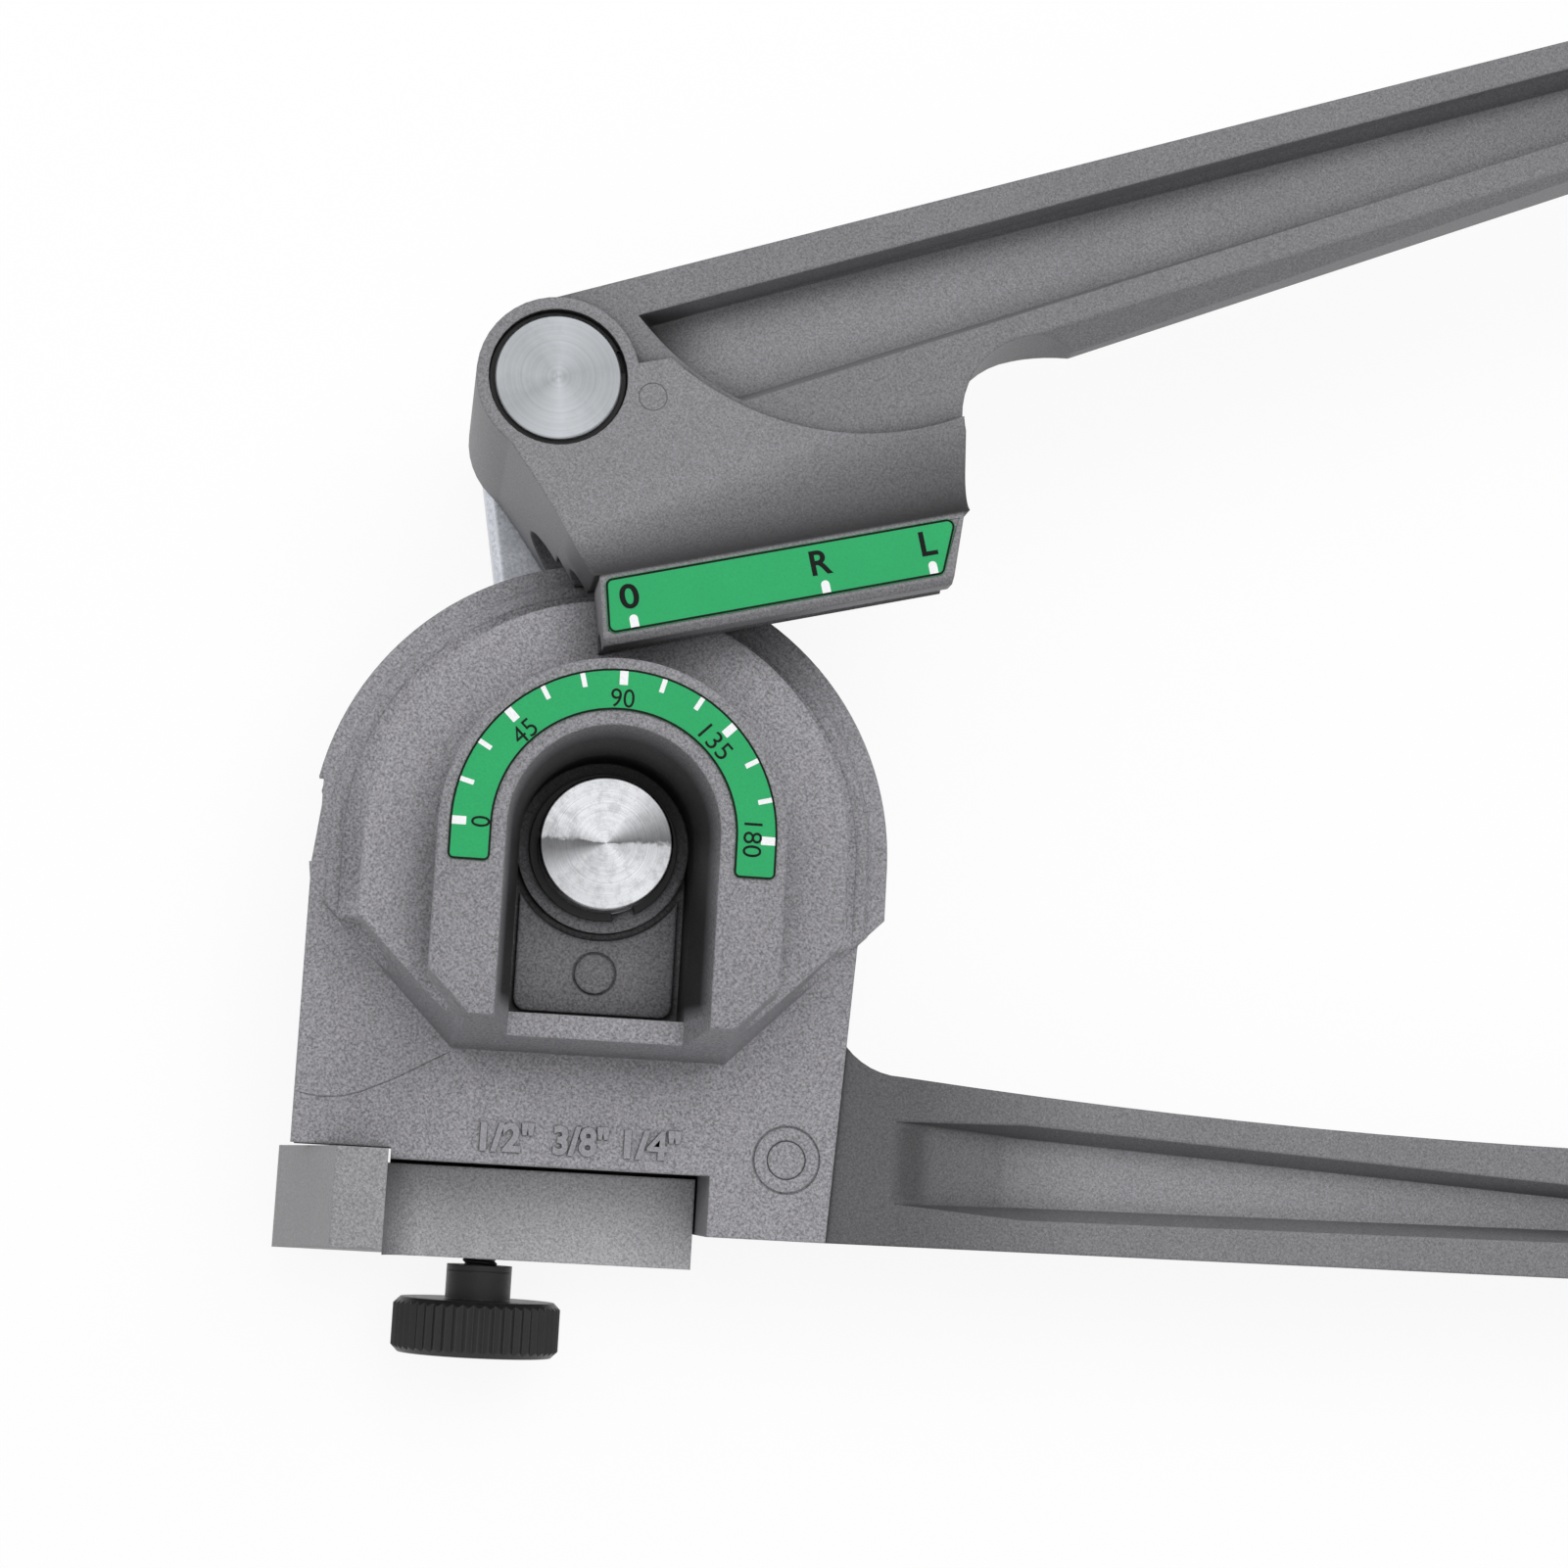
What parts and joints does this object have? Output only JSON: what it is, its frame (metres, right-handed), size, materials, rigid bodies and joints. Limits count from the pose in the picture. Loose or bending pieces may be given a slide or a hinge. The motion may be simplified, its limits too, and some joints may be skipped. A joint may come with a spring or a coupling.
{
  "type": "tube bender",
  "caption": "Lever tube bender with a stepped grooved forming wheel, angle dial, swinging link, grooved shoe handle, sliding hook latch and thumb screw.",
  "frame": {"origin": "on the axis of the centre pin, at the back face of its head, where the tool meets the bench", "axes": "+X along the handles, +Y from the lower handle to the upper pin, +Z out of the dial face"},
  "size_m": [0.3438, 0.24, 0.0545],
  "materials": {
    "body_casting": "coarse sand-textured grey",
    "latch_casting": "fine sand-textured grey",
    "handle_casting": "fine sand-textured dark grey",
    "green_label": "matt printed foil",
    "black_sleeve": "matt dipped sleeve",
    "brass_insert": "turned",
    "zinc_plate": "zinc plated",
    "turned_steel": "face turned",
    "black_steel": "black oxide",
    "bronze_washer": "sintered"
  },
  "bodies": {
    "frame": {"forming_wheel": "body_casting", "dial_label": "green_label", "lower_handle": "handle_casting", "handle_dowel": "body_casting", "lower_grip": "black_sleeve", "thread_insert": "brass_insert"},
    "link": {"link_plate": "zinc_plate", "centre_pin": "turned_steel", "upper_pin": "turned_steel", "centre_ring": "black_steel", "upper_ring": "black_steel", "centre_thrust_washer": "bronze_washer", "upper_thrust_washer": "bronze_washer"},
    "lever": {"upper_handle": "handle_casting", "shoe_label": "green_label", "upper_grip": "black_sleeve"},
    "latch": {"latch_block": "latch_casting"},
    "screw_carriage": {"screw_washer": "black_steel"},
    "screw": {"thumb_knob": "black_steel", "knob_stud": "black_steel"}
  },
  "joints": [
    {"name": "link_swing", "type": "hinge", "parent": "frame", "child": "link", "pos_m": [0, 0, 0], "axis": [0, 0, 1], "range_deg": [-90, 90]},
    {"name": "handle_swing", "type": "hinge", "parent": "link", "child": "lever", "pos_m": [-0.01048, 0.05826, 0.03], "axis": [0, 0, 1], "range_deg": [-14.7, 100]},
    {"name": "latch_slide", "type": "slide", "parent": "frame", "child": "latch", "axis": [-1, 0, 0], "range_m": [0, 0.01947]},
    {"name": "screw_travel", "type": "slide", "parent": "frame", "child": "screw_carriage", "axis": [0, 1, 0], "range_m": [-0.00241, 0.00088]},
    {"name": "screw_turn", "type": "hinge", "parent": "screw_carriage", "child": "screw", "pos_m": [-0.0117, -0.06, 0.01125], "axis": [0, 1, 0], "range_deg": [-1080, 390]}
  ],
  "couplings": [
    {"joint": "screw_travel", "follows": "screw_turn", "m_per_rad": 0.00012732}
  ]
}
